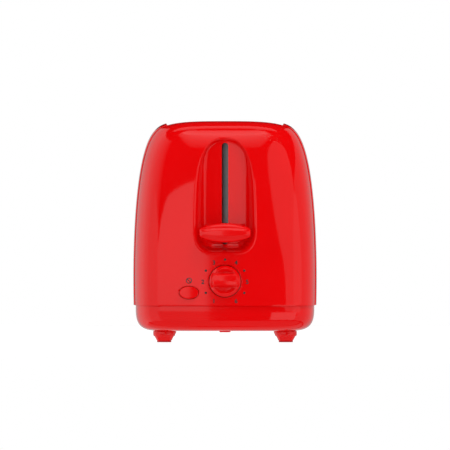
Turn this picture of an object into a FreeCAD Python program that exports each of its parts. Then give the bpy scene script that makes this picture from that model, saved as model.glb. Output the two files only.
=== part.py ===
import FreeCAD, Part
import math
import os
import re
import Sketcher

# A two-slot pop up toaster, in millimetres.  +Z is up, -Y is the lever end, +X is to the
# right of somebody facing the lever.  The origin is on the worktop, under the body's centre.
# The lever is down and latched in the drawn position.

SIZES = {
    # moulded body form: widest at the waist, closing to the crown by a superellipse
    "body_width": 158.6,
    "body_length": 246,
    "body_height": 191,
    "waist_level": 55,
    "flank_power": 8,
    "end_power": 12,
    "plan_power_across": 4,
    "plan_power_along": 8,
    "shell_wall": 2.5,
    "shell_bottom": 31.7,
    # side shells stand proud of the end covers and stop beside the top plate
    "end_cover_length": 43,
    "cover_step": 1,
    "shell_edge": 50.7,
    "seam_gap": 0.1,
    # top plate and the two bread slots
    "top_drop": 4.2,
    "top_thickness": 2.5,
    "slot_spacing": 50,
    "slot_width": 31,
    "slot_length": 138,
    "slot_corner": 4,
    "collar_wall": 1,
    # base moulding
    "base_inset": 2.2,
    "base_bottom": 9.7,
    "base_radius": 14,
    "tab_width": 9.4,
    "tab_depth": 8,
    "tab_drop": 0.9,
    "tab_inset": 19,
    "foot_inset_across": 27,
    "foot_inset_along": 43,
    "foot_radius": 9.5,
    "foot_tip_radius": 6.1,
    "foot_chamfer": 5,
    "pad_height": 1.2,
    # scoop for the lever in the front cover
    "scoop_half_width": 28,
    "scoop_floor_half_width": 19.5,
    "scoop_drop": 15.5,
    "scoop_centre": 108,
    "scoop_bottom": 74,
    "scoop_depth": 17,
    "scoop_power": 2.5,
    "scoop_foot_power": 4,
    "scoop_overrun": 4,
    "lever_slot_width": 5.5,
    "lever_slot_bottom": 84.2,
    "lever_slot_drop": 19.8,
    # lever and carriage
    "lever_level": 94.1,
    "lever_width": 44.6,
    "lever_height": 17,
    "lever_end_height": 8.2,
    "lever_reach": 12,
    "lever_depth": 17,
    "lever_edge_radius": 3,
    "arm_thickness": 3.2,
    "arm_height": 10,
    "lift": 71,
    "carriage_gap": 2.5,
    "carriage_room": 13,
    "carriage_gauge": 1.5,
    "carriage_lip": 2,
    "carriage_height": 14,
    "leg_width": 8,
    "ear_margin": 6,
    "part_clearance": 1,
    "rod_radius": 2.5,
    "rod_x": 14,
    "rod_setback": 7,
    "bush_wall": 2.5,
    "bush_length": 16,
    "running_clearance": 0.06,
    "spring_radius": 4,
    "spring_wire": 0.8,
    # bread racks
    "rack_level": 52,
    "rack_width": 14,
    "rack_gauge": 2,
    "rack_end_gap": 9,
    "spine_width": 3,
    "spine_height": 6,
    "spine_margin": 2,
    "spine_overhang": 4,
    # chassis of folded sheet steel
    "chassis_gauge": 1,
    "chassis_bottom": 30,
    "shoulder_drop": 30,
    "chassis_drop": 12,
    "chassis_margin": 6,
    "chassis_neck": 30,
    "lug_depth": 12,
    "lug_margin": 8,
    "lug_low": 36,
    "lug_gauge": 1.5,
    "chamber_drop": 20,
    "roof_margin": 4.5,
    "shield_gauge": 0.8,
    "post_size": 10,
    "post_inset": 17.3,
    # heating boards and bread guides
    "board_gauge": 1,
    "board_rack_gap": 2,
    "board_roof_gap": 4,
    "guide_half_gap": 14,
    "guide_wire": 1,
    "guide_axle": 1.2,
    "guide_level": 46.5,
    "guide_height": 111,
    "guide_end_gap": 2,
    "guide_wires": 8,
    # electromagnet that holds the carriage down
    "core_radius": 3,
    "coil_radius": 5.3,
    "coil_length": 24,
    "coil_level": 46,
    "magnet_gap": 0.5,
    "armature_width": 12,
    "armature_depth": 8,
    "armature_height": 7.5,
    # browning dial, its control and the control board
    "dial_level": 52.7,
    "dial_radius": 13.3,
    "dial_gap": 0.9,
    "dial_flange": 2.4,
    "flange_thickness": 1.4,
    "flange_gap": 0.5,
    "dial_rise": 5,
    "grip_rise": 5,
    "grip_width": 7,
    "grip_margin": 1.5,
    "shaft_radius": 3,
    "control_size": 18,
    "control_height": 17.6,
    "control_depth": 8,
    "control_setback": 19,
    "control_board_gauge": 1.6,
    "control_board_width": 84,
    "control_board_height": 28,
    "control_board_bottom": 34,
    # cancel button
    "button_x": -30.8,
    "button_level": 42.9,
    "button_half_width": 8.25,
    "button_half_height": 5.45,
    "button_gap": 0.4,
    "button_rise": 1.6,
    "button_flange": 1,
    "button_flange_gap": 1.9,
    "button_travel": 2,
    "button_stem": 4,
    "switch_size": 6,
    "switch_height": 4,
    # crumb tray
    "tray_width": 86,
    "tray_rear_inset": 7,
    "tray_height": 6,
    "tray_wall": 1,
    "tray_mouth_depth": 20,
    "tray_clearance": 0.4,
    "tray_front_gap": 2,
    "tray_grip_depth": 6,
    "tray_grip_height": 9.5,
    # cord gland in the rear cover
    "gland_x": -34,
    "gland_level": 46,
    "gland_radius": 7,
    "gland_bore": 3.4,
    "gland_flange": 2.5,
    "gland_rim_gap": 0.3,
    "gland_reach": 12,
    "gland_depth": 6,
}

# Places that several pieces share, worked out from the sheet.
SHARED = {
    "shell_length": "(body_length - 2*end_cover_length)",
    "top_level": "(body_height - top_drop)",
    "scoop_top": "(body_height - scoop_drop)",
    "scoop_floor_y": "(scoop_depth - body_length/2)",
    "lever_slot_top": "(body_height - lever_slot_drop)",
    "carriage_y": "(scoop_floor_y + shell_wall + carriage_gap)",
    "rod_y": "(carriage_y + rod_setback)",
    "chassis_half_length": "(-carriage_y - carriage_room)",
    "chassis_shoulder": "(body_height - shoulder_drop)",
    "chassis_top": "(body_height - chassis_drop)",
    "chassis_half_width": "(slot_spacing + chassis_margin)",
    "chamber_top": "(body_height - chamber_drop)",
    "post_x": "(body_width/2 - post_inset)",
    "board_bottom": "(rack_level + board_rack_gap)",
    "board_top": "(chamber_top - board_roof_gap)",
    "guide_width": "(slot_length - 2*guide_end_gap)",
    "board_y": "(control_setback - body_length/2)",
    "tray_front": "(-chassis_half_length - tray_front_gap)",
    "tray_length": "(body_length/2 - tray_rear_inset - tray_front)",
    "carriage_width": "(slot_spacing + leg_width + 2*carriage_lip)",
    "rack_length": "(2*chassis_half_length - 2*chassis_gauge - 2*rack_end_gap)",
}

doc = FreeCAD.newDocument("toaster")
sheet = doc.addObject("Spreadsheet::Sheet", "dims")
for row, (alias, value) in enumerate(SIZES.items(), start=1):
    sheet.set("A%d" % row, alias)
    sheet.set("B%d" % row, str(value))
    sheet.setAlias("B%d" % row, alias)
doc.recompute()

ALIAS = re.compile(r"\b(%s)\b" % "|".join(SIZES))
PLACE = re.compile(r"\b(%s)\b" % "|".join(SHARED))
NODES = []


def spelled(formula):
    """Formula with its shared places worked out down to cells of the sheet."""
    while PLACE.search(formula):
        formula = PLACE.sub(lambda found: SHARED[found.group(1)], formula)
    return ALIAS.sub(r"dims.\1", formula)


def size(formula):
    """Value of a cell, a shared place or a formula of them."""
    return float(sheet.evalExpression(spelled(formula)))


def bind(item, prop, formula):
    """Tie a property to the sheet by a formula."""
    item.setExpression(prop, spelled(formula))


def place(item, x="0", y="0", z="0"):
    bind(item, ".Placement.Base.x", x)
    bind(item, ".Placement.Base.y", y)
    bind(item, ".Placement.Base.z", z)
    return item


def node(item, label):
    """Mark an object as a finished sub-part."""
    item.Label = label
    NODES.append(item)
    return item


def block(name, corner, extent):
    """Box from its lowest corner and its extents, all formulas."""
    box = doc.addObject("Part::Box", name)
    for prop, formula in zip(("Length", "Width", "Height"), extent):
        bind(box, prop, formula)
    return place(box, *corner)


def slab(name, centre, extent):
    """Box centred on a point."""
    corner = ["(%s) - (%s)/2" % pair for pair in zip(centre, extent)]
    return block(name, corner, extent)


def post(name, radius, length, foot):
    """Upright cylinder standing on a point."""
    cylinder = doc.addObject("Part::Cylinder", name)
    bind(cylinder, "Radius", radius)
    bind(cylinder, "Height", length)
    return place(cylinder, *foot)


def spindle(name, radius, length, back):
    """Cylinder that runs from a point towards the lever end."""
    cylinder = post(name, radius, length, ("0", "0", "0"))
    cylinder.Placement = FreeCAD.Placement(
        FreeCAD.Vector(), FreeCAD.Rotation(FreeCAD.Vector(1, 0, 0), 90))
    return place(cylinder, *back)


def fuse(name, parts):
    joined = doc.addObject("Part::MultiFuse", name)
    joined.Shapes = parts
    joined.Refine = True
    return joined


def cut(name, base, *tools):
    for count, tool in enumerate(tools, start=1):
        result = doc.addObject("Part::Cut", "%s_cut%d" % (name, count))
        result.Base = base
        result.Tool = tool
        base = result
    return base


def common(name, *parts):
    shared = doc.addObject("Part::MultiCommon", name)
    shared.Shapes = list(parts)
    return shared


def rounded(name, base, radius, keep):
    """Fillet the edges that the test keeps."""
    doc.recompute()
    fillet = doc.addObject("Part::Fillet", name)
    fillet.Base = base
    edges = [i for i, edge in enumerate(base.Shape.Edges, start=1) if keep(edge)]
    fillet.Edges = [(i, size(radius), size(radius)) for i in edges]
    return fillet


def feature(label, shape):
    """Sub-part whose curved form has no sketch equivalent."""
    moulded = doc.addObject("Part::Feature", label)
    moulded.Shape = shape
    moulded.Placement = FreeCAD.Placement()
    return moulded


# ---------------------------------------------------------------- moulded forms

def plan_ring(half_width, half_length, level):
    """Closed plan outline |x/a|^p + |y/b|^q = 1: the flank is walked by y, the end by x."""
    p = size("plan_power_across")
    q = size("plan_power_along")
    steps = 8
    corner_x = 0.5 ** (1 / p)
    corner_y = 0.5 ** (1 / q)
    flank = []
    for i in range(steps + 1):
        y = corner_y * i / steps
        flank.append(((1 - y ** q) ** (1 / p), y))
    end = []
    for i in range(steps - 1, -1, -1):
        x = corner_x * i / steps
        end.append((x, (1 - x ** p) ** (1 / q)))
    quarter = flank + end
    half = quarter + [(-x, y) for x, y in reversed(quarter[:-1])]
    whole = half + [(x, -y) for x, y in reversed(half[1:-1])]
    points = [FreeCAD.Vector(half_width * x, half_length * y, level) for x, y in whole]
    curve = Part.BSplineCurve()
    curve.interpolate(Points=points, PeriodicFlag=True)
    return Part.Wire([curve.toShape()])


def rise(fraction, power):
    """Share of the full half size left at a fraction of the way from waist to crown."""
    return (1 - fraction ** 2) ** (1 / power)


def body_form(inset):
    """Solid form of the end covers, shrunk all over by inset."""
    half_width = size("body_width") / 2 - size("cover_step") - inset
    half_length = size("body_length") / 2 - inset
    height = size("body_height") - inset - size("waist_level")
    low = math.asin((size("shell_bottom") - size("waist_level")) / height)
    high = math.radians(86)
    rings = []
    steps = 11
    for i in range(steps + 1):
        fraction = math.sin(low + (high - low) * i / steps)
        rings.append(plan_ring(half_width * rise(fraction, size("flank_power")),
                               half_length * rise(fraction, size("end_power")),
                               size("waist_level") + height * fraction))
    return Part.makeLoft(rings, True)


def side_profile(inset, edge):
    """Curve in the XZ plane from the shell's lower edge up over the shoulder to x = edge."""
    half_width = size("body_width") / 2 - inset
    height = size("body_height") - inset - size("waist_level")
    low = math.asin((size("shell_bottom") - size("waist_level")) / height)
    top_fraction = math.sqrt(1 - (edge / half_width) ** size("flank_power"))
    high = math.asin(top_fraction)
    points = []
    steps = 12
    for i in range(steps + 1):
        fraction = math.sin(low + (high - low) * i / steps)
        points.append(FreeCAD.Vector(half_width * rise(fraction, size("flank_power")),
                                     -size("shell_length") / 2,
                                     size("waist_level") + height * fraction))
    curve = Part.BSplineCurve()
    curve.interpolate(Points=points)
    return curve.toShape(), points[0], points[-1]


def side_shell():
    """Right-hand shell: a band of even wall, run along the body."""
    outer, outer_low, outer_high = side_profile(0, size("shell_edge"))
    inner, inner_low, inner_high = side_profile(size("shell_wall"), size("shell_edge"))
    edges = [outer, Part.makeLine(outer_high, inner_high), inner,
             Part.makeLine(inner_low, outer_low)]
    face = Part.Face(Part.Wire(Part.__sortEdges__(edges)))
    return face.extrude(FreeCAD.Vector(0, size("shell_length"), 0))


def scoop_outline(half_width, low, high, y):
    """Upright oval, widest at scoop_centre, squarer below it than above."""
    points = []
    steps = 28
    for i in range(steps):
        angle = 2 * math.pi * i / steps
        across = math.cos(angle)
        up = math.sin(angle)
        reach = high - size("scoop_centre") if up > 0 else size("scoop_centre") - low
        share = 2 / size("scoop_power" if up > 0 else "scoop_foot_power")
        points.append(FreeCAD.Vector(
            math.copysign(abs(across) ** share, across) * half_width, y,
            size("scoop_centre") + math.copysign(abs(up) ** share, up) * reach))
    curve = Part.BSplineCurve()
    curve.interpolate(Points=points, PeriodicFlag=True)
    return Part.Wire([curve.toShape()])


def scoop_form(grow):
    """Tapered hollow of the lever scoop, grown all over for its wall."""
    floor_y = size("scoop_floor_y") + grow
    mouth_y = -size("body_length") / 2 - size("scoop_overrun")
    draft = size("scoop_half_width") - size("scoop_floor_half_width")
    mouth = scoop_outline(size("scoop_half_width") + grow, size("scoop_bottom") - grow,
                          size("scoop_top") + grow, mouth_y)
    floor = scoop_outline(size("scoop_floor_half_width") + grow,
                          size("scoop_bottom") + draft / 2 - grow,
                          size("scoop_top") - grow / 2, floor_y)
    return Part.makeLoft([mouth, floor], True, True)


def end_box(side):
    """Half space beyond the side shells at one end, as a large box."""
    reach = size("body_length")
    inner = size("shell_length") / 2 + size("seam_gap")
    corner = FreeCAD.Vector(-reach, inner if side > 0 else -inner - reach, 0)
    return Part.makeBox(2 * reach, reach, 2 * reach, corner)


outer_form = body_form(0)
inner_form = body_form(size("shell_wall"))
cover_skin = outer_form.cut(inner_form)

# Front cover: skin, scoop wall and hollow; the holes for slot, dial and button follow.
scoop_wall = scoop_form(size("shell_wall")).common(outer_form)
front_skin = cover_skin.common(end_box(-1)).fuse(scoop_wall).cut(scoop_form(0))
front_blank = feature("front_blank", front_skin)
lever_slot = block("lever_slot",
                   ("-lever_slot_width/2", "scoop_floor_y - shell_wall", "lever_slot_bottom"),
                   ("lever_slot_width", "4*shell_wall", "lever_slot_top - lever_slot_bottom"))
dial_hole = spindle("dial_hole", "dial_radius + dial_gap", "body_length/4",
                    ("0", "-body_length/2 + 4*shell_wall", "dial_level"))


def oval(name, grow, length, back_y):
    """Oval bar of the cancel button's outline, run towards the lever end."""
    ellipse = doc.addObject("Part::Ellipse", name + "_outline")
    bind(ellipse, "MajorRadius", "button_half_width + (%s)" % grow)
    bind(ellipse, "MinorRadius", "button_half_height + (%s)" % grow)
    ellipse.Placement = FreeCAD.Placement(
        FreeCAD.Vector(), FreeCAD.Rotation(FreeCAD.Vector(1, 0, 0), 90))
    place(ellipse, "button_x", back_y, "button_level")
    bar = doc.addObject("Part::Extrusion", name)
    bar.Base = ellipse
    bar.DirMode = "Custom"
    bar.Dir = FreeCAD.Vector(0, -1, 0)
    bar.Solid = True
    bind(bar, "LengthFwd", length)
    return bar


button_hole = oval("button_hole", "button_gap", "body_length/4",
                   "-body_length/2 + 4*shell_wall")
node(cut("front", front_blank, lever_slot, dial_hole, button_hole), "front_cover")

rear_blank = feature("rear_blank", cover_skin.common(end_box(1)))
gland_hole = spindle("gland_hole", "gland_radius", "body_length/4",
                     ("gland_x", "body_length/2 + gland_reach", "gland_level"))
node(cut("rear", rear_blank, gland_hole), "rear_cover")

right_band = side_shell()
node(feature("side_shell_right", right_band), "side_shell_right")
left_band = right_band.mirror(FreeCAD.Vector(0, 0, 0), FreeCAD.Vector(1, 0, 0))
node(feature("side_shell_left", left_band), "side_shell_left")


def base_form(inset):
    """Tray form of the base: upright skirt with a quarter-round lower edge."""
    half_width = size("body_width") / 2 - size("base_inset") - inset
    half_length = size("body_length") / 2 - size("base_inset") - inset
    radius = size("base_radius") - inset
    low = size("base_bottom") + inset
    rings = []
    steps = 6
    for i in range(steps + 1):
        angle = math.radians(90) * i / steps
        draw_in = radius * (1 - math.sin(angle))
        rings.append(plan_ring(half_width - draw_in, half_length - draw_in,
                               low + radius * (1 - math.cos(angle))))
    rings.append(plan_ring(half_width, half_length, size("shell_bottom")))
    return Part.makeLoft(rings, True)


base_blank = feature("base_blank", base_form(0).cut(base_form(size("shell_wall"))))
tray_mouth = block("tray_mouth",
                   ("-tray_width/2 - tray_clearance",
                    "tray_front + tray_length - tray_mouth_depth", "base_bottom + shell_wall"),
                   ("tray_width + 2*tray_clearance", "body_length/2",
                    "tray_grip_height + 2*tray_clearance"))
base_posts = [
    block("base_post_%d_%d" % (sx, sy),
          ("%d*post_x - post_size/2" % sx,
           "%d*(chassis_half_length - chassis_gauge/2) - post_size/2" % sy,
           "base_bottom + shell_wall/2"),
          ("post_size", "post_size", "chassis_bottom - base_bottom - shell_wall/2"))
    for sx in (-1, 1) for sy in (-1, 1)]
base_tab = block("base_tab",
                 ("-tab_width/2", "-body_length/2 + tab_inset", "base_bottom - tab_drop"),
                 ("tab_width", "tab_depth", "tab_drop + shell_wall/2"))
base_cut = cut("base", base_blank, tray_mouth)
node(fuse("base_whole", [base_cut, base_tab] + base_posts), "base")

# ---------------------------------------------------------------- top plate and collars

SIDES = {"left": -1, "right": 1}
ENDS = {"front": -1, "rear": 1}


def slot_cutter(name, side, grow, low, height):
    """Upright rounded bar through one bread slot."""
    bar = slab(name + "_bar",
               ("%d*slot_spacing/2" % side, "0", "%s + (%s)/2" % (low, height)),
               ("slot_width + 2*(%s)" % grow, "slot_length + 2*(%s)" % grow, height))
    return rounded(name, bar, "slot_corner",
                   lambda edge: abs(edge.tangentAt(edge.FirstParameter).z) > 0.9)


top_blank = slab("top_blank", ("0", "0", "top_level - top_thickness/2"),
                 ("2*(shell_edge - seam_gap)", "shell_length", "top_thickness"))
top_cutters = [slot_cutter("top_slot_" + label, side, "0", "top_level - 2*top_thickness",
                           "4*top_thickness") for label, side in SIDES.items()]
node(cut("top", top_blank, *top_cutters), "top_plate")

COLLAR_LOW = "chamber_top + chassis_gauge"
COLLAR_HEIGHT = "top_level - top_thickness - chamber_top - chassis_gauge"
for label, side in SIDES.items():
    sleeve = slot_cutter("sleeve_" + label, side, "collar_wall", COLLAR_LOW, COLLAR_HEIGHT)
    bore = slot_cutter("sleeve_bore_" + label, side, "0", "chamber_top", "body_height")
    node(cut("collar_" + label, sleeve, bore), "slot_collar_" + label)

# ---------------------------------------------------------------- feet

for end_label, end in ENDS.items():
    for side_label, side in SIDES.items():
        spot = ("%d*(body_width/2 - foot_inset_across)" % side,
                "%d*(body_length/2 - foot_inset_along)" % end)
        tag = "%s_%s" % (end_label, side_label)
        barrel = post("foot_barrel_" + tag, "foot_radius",
                      "base_bottom - pad_height - foot_chamfer",
                      spot + ("pad_height + foot_chamfer",))
        tip = doc.addObject("Part::Cone", "foot_tip_" + tag)
        bind(tip, "Radius1", "foot_tip_radius")
        bind(tip, "Radius2", "foot_radius")
        bind(tip, "Height", "foot_chamfer")
        place(tip, *spot, "pad_height")
        node(fuse("foot_whole_" + tag, [barrel, tip]), "foot_" + tag)
        node(post("pad_" + tag, "foot_tip_radius", "pad_height", spot + ("0",)),
             "foot_pad_" + tag)

# ---------------------------------------------------------------- chassis

def sheet_outline(label, plane_role, corners, gauge):
    """Flat sheet padded from a closed outline whose corners are formulas."""
    body = doc.addObject("PartDesign::Body", label)
    plane = [item for item in body.Origin.OriginFeatures if item.Role == plane_role][0]
    sketch = body.newObject("Sketcher::SketchObject", label + "_outline")
    sketch.AttachmentSupport = (plane, "")
    sketch.MapMode = "FlatFace"
    points = [FreeCAD.Vector(size(x), size(z), 0) for x, z in corners]
    for i, point in enumerate(points):
        sketch.addGeometry(Part.LineSegment(point, points[(i + 1) % len(points)]))
    for i, pair in enumerate(corners):
        sketch.addConstraint(Sketcher.Constraint("Coincident", i - 1 if i else len(points) - 1,
                                                 2, i, 1))
        for kind, value, formula in zip(("DistanceX", "DistanceY"), points[i], pair):
            number = sketch.addConstraint(Sketcher.Constraint(kind, i, 1, value))
            bind(sketch, "Constraints[%d]" % number, formula)
    pad = body.newObject("PartDesign::Pad", label + "_pad")
    pad.Profile = sketch
    bind(pad, "Length", gauge)
    return body


CHASSIS_HALF = [("post_x + post_size/2", "chassis_bottom"),
                ("post_x + post_size/2", "lug_low - part_clearance"),
                ("chassis_half_width", "lug_low - part_clearance"),
                ("chassis_half_width", "chassis_shoulder"),
                ("chassis_neck", "chassis_top")]
CHASSIS_OUTLINE = CHASSIS_HALF + [("-(%s)" % x, z) for x, z in reversed(CHASSIS_HALF)]


def chassis_plate(label, end):
    """End plate with a slot for each rack's spine and pivot holes for the bread guides."""
    blank = sheet_outline(label + "_blank", "XZ_Plane", CHASSIS_OUTLINE, "chassis_gauge")
    inner = "chassis_half_length - chassis_gauge"
    place(blank, y="chassis_half_length" if end > 0 else "-(%s)" % inner)
    middle = "%d*(chassis_half_length - chassis_gauge/2)" % end
    tools = []
    for side_label, side in SIDES.items():
        centre = "%d*slot_spacing/2" % side
        tools.append(slab("%s_spine_slot_%s" % (label, side_label),
                          (centre, middle,
                           "rack_level - rack_gauge - spine_height/2 + lift/2"),
                          ("spine_width + 2*part_clearance", "6*chassis_gauge",
                           "lift + spine_height + 2*spine_margin")))
        for flank in (-1, 1):
            tools.append(spindle("%s_pivot_%s_%d" % (label, side_label, flank),
                                 "guide_axle + running_clearance", "6*chassis_gauge",
                                 ("%s + %d*guide_half_gap" % (centre, flank),
                                  "%s + 3*chassis_gauge" % middle, "guide_level")))
    return cut(label, blank, *tools)


front_lugs = [block("lug_" + label,
                    ("-rod_x - lug_margin", "-chassis_half_length - lug_depth", level),
                    ("2*rod_x + 2*lug_margin", "lug_depth", "lug_gauge"))
              for label, level in (("low", "lug_low"), ("high", "chassis_top - lug_gauge"))]
front_plate = fuse("front_plate", [chassis_plate("front_sheet", -1)] + front_lugs)
rod_hole = post("rod_hole", "rod_radius", "chassis_top", ("rod_x", "rod_y", "lug_low"))
node(cut("front_chassis", front_plate, rod_hole), "chassis_front")
node(chassis_plate("rear_sheet", 1), "chassis_rear")

CHAMBER_LENGTH = "2*(chassis_half_length - chassis_gauge)"
for label, side in SIDES.items():
    node(slab("shield_" + label,
              ("%d*(chassis_half_width - shield_gauge/2)" % side, "0",
               "(chassis_bottom + chassis_shoulder)/2"),
              ("shield_gauge", CHAMBER_LENGTH, "chassis_shoulder - chassis_bottom")),
         "heat_shield_" + label)

roof_blank = slab("roof_blank", ("0", "0", "chamber_top + chassis_gauge/2"),
                  ("slot_spacing + slot_width + 2*roof_margin", CHAMBER_LENGTH,
                   "chassis_gauge"))
roof_cutters = [slot_cutter("roof_slot_" + label, side, "0", "chamber_top - chassis_gauge",
                            "3*chassis_gauge") for label, side in SIDES.items()]
node(cut("roof", roof_blank, *roof_cutters), "chamber_roof")

node(post("guide_rod", "rod_radius", "chassis_top - lug_low", ("rod_x", "rod_y", "lug_low")),
     "guide_rod")

# ---------------------------------------------------------------- heating boards and guides

BOARDS = {"left": "-slot_spacing", "centre": "0", "right": "slot_spacing"}
for label, x in BOARDS.items():
    node(slab("board_" + label, (x, "0", "(board_bottom + board_top)/2"),
              ("board_gauge", CHAMBER_LENGTH, "board_top - board_bottom")),
         "heating_board_" + label)


def bread_guide(label, x):
    """Upright grille of wires on a pivot wire that runs through both chassis plates."""
    axle = spindle(label + "_axle", "guide_axle",
                   "2*chassis_half_length + 4*chassis_gauge",
                   (x, "chassis_half_length + 2*chassis_gauge", "guide_level"))
    parts = [axle]
    for name, level in (("middle", "guide_height/2"), ("top", "guide_height")):
        parts.append(spindle("%s_%s" % (label, name), "guide_wire", "guide_width",
                             (x, "guide_width/2", "guide_level + " + level)))
    count = int(size("guide_wires"))
    for i in range(count):
        y = "(guide_width - 2*guide_wire)*(%d/(guide_wires - 1) - 0.5)" % i
        parts.append(post("%s_wire_%d" % (label, i + 1), "guide_wire", "guide_height",
                          (x, y, "guide_level")))
    return fuse(label, parts)


for label, side in SIDES.items():
    for name, flank in (("inner", -side), ("outer", side)):
        tag = "bread_guide_%s_%s" % (label, name)
        spot = "%d*slot_spacing/2 + %d*guide_half_gap" % (side, flank)
        node(bread_guide(tag + "_whole", spot), tag)

# ---------------------------------------------------------------- carriage

CARRIAGE_LOW = "lever_level - carriage_height/2"
crossbar = block("crossbar", ("-carriage_width/2", "carriage_y", CARRIAGE_LOW),
                 ("carriage_width", "carriage_gauge", "carriage_height"))
ear = block("ear", ("-rod_x - ear_margin", "carriage_y", CARRIAGE_LOW),
            ("2*rod_x + 2*ear_margin", "-chassis_half_length - carriage_y - part_clearance",
             "carriage_gauge"))
legs = [block("leg_" + label,
              ("%d*slot_spacing/2 - leg_width/2" % side, "carriage_y",
               "rack_level - rack_gauge - spine_height"),
              ("leg_width", "carriage_gauge",
               "%s - rack_level + rack_gauge + spine_height" % CARRIAGE_LOW))
        for label, side in SIDES.items()]
arm = block("arm", ("-arm_thickness/2", "-body_length/2 + lever_depth - lever_reach",
                    "lever_level - arm_height/2"),
            ("arm_thickness",
             "carriage_y + body_length/2 - lever_depth + lever_reach",
             "arm_height"))
bush_seat = post("bush_seat", "rod_radius + running_clearance + bush_wall",
                 "carriage_height", ("rod_x", "rod_y", CARRIAGE_LOW + " - part_clearance"))
node(cut("carriage", fuse("carriage_blank", [crossbar, ear, arm] + legs), bush_seat),
     "carriage_bracket")

bush = post("bush_outside", "rod_radius + running_clearance + bush_wall", "bush_length",
            ("rod_x", "rod_y", CARRIAGE_LOW + " - part_clearance"))
bush_bore = post("bush_bore", "rod_radius + running_clearance",
                 "bush_length + 2*part_clearance",
                 ("rod_x", "rod_y", CARRIAGE_LOW + " - 2*part_clearance"))
node(cut("bush", bush, bush_bore), "carriage_bush")

spring_turn = "(chassis_top - lug_gauge - (%s) - carriage_gauge)" % CARRIAGE_LOW
spring_outside = post("spring_outside", "spring_radius", spring_turn,
                      ("-rod_x", "rod_y", CARRIAGE_LOW + " + carriage_gauge"))
spring_inside = post("spring_inside", "spring_radius - spring_wire", spring_turn,
                     ("-rod_x", "rod_y", CARRIAGE_LOW + " + carriage_gauge"))
node(cut("spring", spring_outside, spring_inside), "lift_spring")

# The lever's face is the overlap of a block and two large drums: square ends, arched edges.
SAG = "((lever_height - lever_end_height)/2)"
ARCH = "(((lever_width/2)^2 + %s^2)/(2*%s))" % (SAG, SAG)
LEVER_BACK = "-body_length/2 - lever_reach + lever_depth"
lever_block = slab("lever_block", ("0", "%s - lever_depth/2" % LEVER_BACK, "lever_level"),
                   ("lever_width", "lever_depth", "lever_height"))
drums = [spindle("lever_drum_%d" % (side + 1), ARCH, "lever_depth",
                 ("0", LEVER_BACK, "lever_level + %d*(lever_height/2 - %s)" % (side, ARCH)))
         for side in (-1, 1)]
lever_blank = common("lever_blank", lever_block, *drums)
doc.recompute()
lever_front = lever_blank.Shape.BoundBox.YMin
lever = rounded("lever", lever_blank, "lever_edge_radius",
                lambda edge: edge.BoundBox.YMax < lever_front + 0.01)
node(lever, "lever_knob")

for label, side in SIDES.items():
    centre = "%d*slot_spacing/2" % side
    tray = slab("rack_tray_" + label, (centre, "0", "rack_level - rack_gauge/2"),
                ("rack_width", "rack_length", "rack_gauge"))
    spine = block("rack_spine_" + label,
                  (centre + " - spine_width/2", "carriage_y + carriage_gauge",
                   "rack_level - rack_gauge - spine_height"),
                  ("spine_width",
                   "-carriage_y - carriage_gauge + chassis_half_length + spine_overhang",
                   "spine_height"))
    node(fuse("rack_" + label, [tray, spine]), "bread_rack_" + label)

# ---------------------------------------------------------------- electromagnet

node(block("armature", ("-armature_width/2", "rod_y - armature_depth/2",
                        CARRIAGE_LOW + " - armature_height"),
           ("armature_width", "armature_depth", "armature_height")), "latch_armature")
CORE_TOP = "(%s - armature_height - magnet_gap)" % CARRIAGE_LOW
node(post("core", "core_radius", CORE_TOP + " - lug_low - lug_gauge",
          ("0", "rod_y", "lug_low + lug_gauge")), "magnet_core")
coil_outside = post("coil_outside", "coil_radius", "coil_length", ("0", "rod_y", "coil_level"))
coil_inside = post("coil_inside", "core_radius", "coil_length + 2*part_clearance",
                   ("0", "rod_y", "coil_level - part_clearance"))
node(cut("coil", coil_outside, coil_inside), "magnet_coil")

# ---------------------------------------------------------------- controls

node(block("control_board", ("-control_board_width/2", "board_y", "control_board_bottom"),
           ("control_board_width", "control_board_gauge", "control_board_height")),
     "control_board")

control_body = slab("control_body", ("0", "board_y - control_depth/2", "dial_level"),
                    ("control_size", "control_depth", "control_height"))
control_bore = spindle("control_bore", "shaft_radius + running_clearance",
                       "2*control_depth", ("0", "board_y + control_depth/2", "dial_level"))
node(cut("control", control_body, control_bore), "browning_control")

FLANGE_FRONT = "-body_length/2 + shell_wall + flange_gap"
dial_parts = [
    spindle("dial_skirt", "dial_radius + dial_flange", "flange_thickness",
            ("0", FLANGE_FRONT + " + flange_thickness", "dial_level")),
    spindle("dial_drum", "dial_radius", "shell_wall + flange_gap + dial_rise",
            ("0", FLANGE_FRONT, "dial_level")),
    slab("dial_grip", ("0", "-body_length/2 - dial_rise - grip_rise/2", "dial_level"),
         ("2*dial_radius - 2*grip_margin", "grip_rise", "grip_width"))]
SHAFT_BACK = "board_y - part_clearance"
shaft_hole = spindle("shaft_hole", "shaft_radius", "body_length/8",
                     ("0", SHAFT_BACK, "dial_level"))
SHAFT_LENGTH = "body_length/2 + (%s)" % SHAFT_BACK
dial_socket = spindle("dial_socket", "shaft_radius", SHAFT_LENGTH,
                      ("0", SHAFT_BACK, "dial_level"))
node(cut("dial", fuse("dial_blank", dial_parts), dial_socket), "browning_dial")
node(spindle("dial_shaft", "shaft_radius", SHAFT_LENGTH, ("0", SHAFT_BACK, "dial_level")),
     "dial_shaft")

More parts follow.
